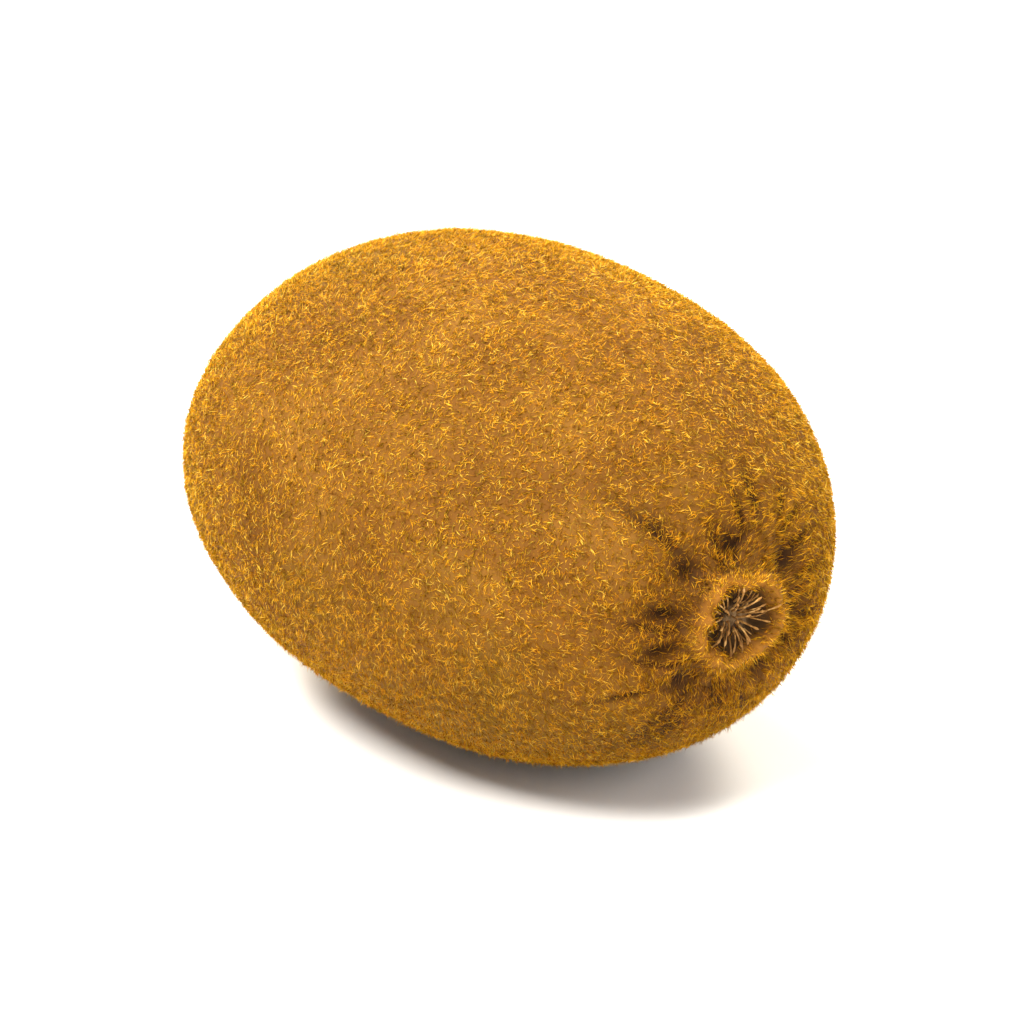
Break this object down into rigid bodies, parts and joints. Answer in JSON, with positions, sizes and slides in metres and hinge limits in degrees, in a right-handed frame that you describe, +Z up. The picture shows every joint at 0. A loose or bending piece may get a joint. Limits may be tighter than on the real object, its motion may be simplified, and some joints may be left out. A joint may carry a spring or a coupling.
{
  "type": "kiwi fruit",
  "caption": "Whole kiwi fruit with fuzzy brown skin, lying on its side, with a puckered blossom end and a stalk scar.",
  "frame": {"origin": "middle of the fruit's outline seen from above, on the plane of the flat spot it rests on", "axes": "+X along the fruit from the stalk scar to the blossom end, +Z up from the surface it lies on"},
  "size_m": [0.0706, 0.053, 0.0455],
  "materials": {
    "skin": "matte",
    "fuzz": "matte",
    "dried_remains": "matte"
  },
  "bodies": {
    "root": {"kiwi_fruit": "skin"}
  },
  "joints": []
}
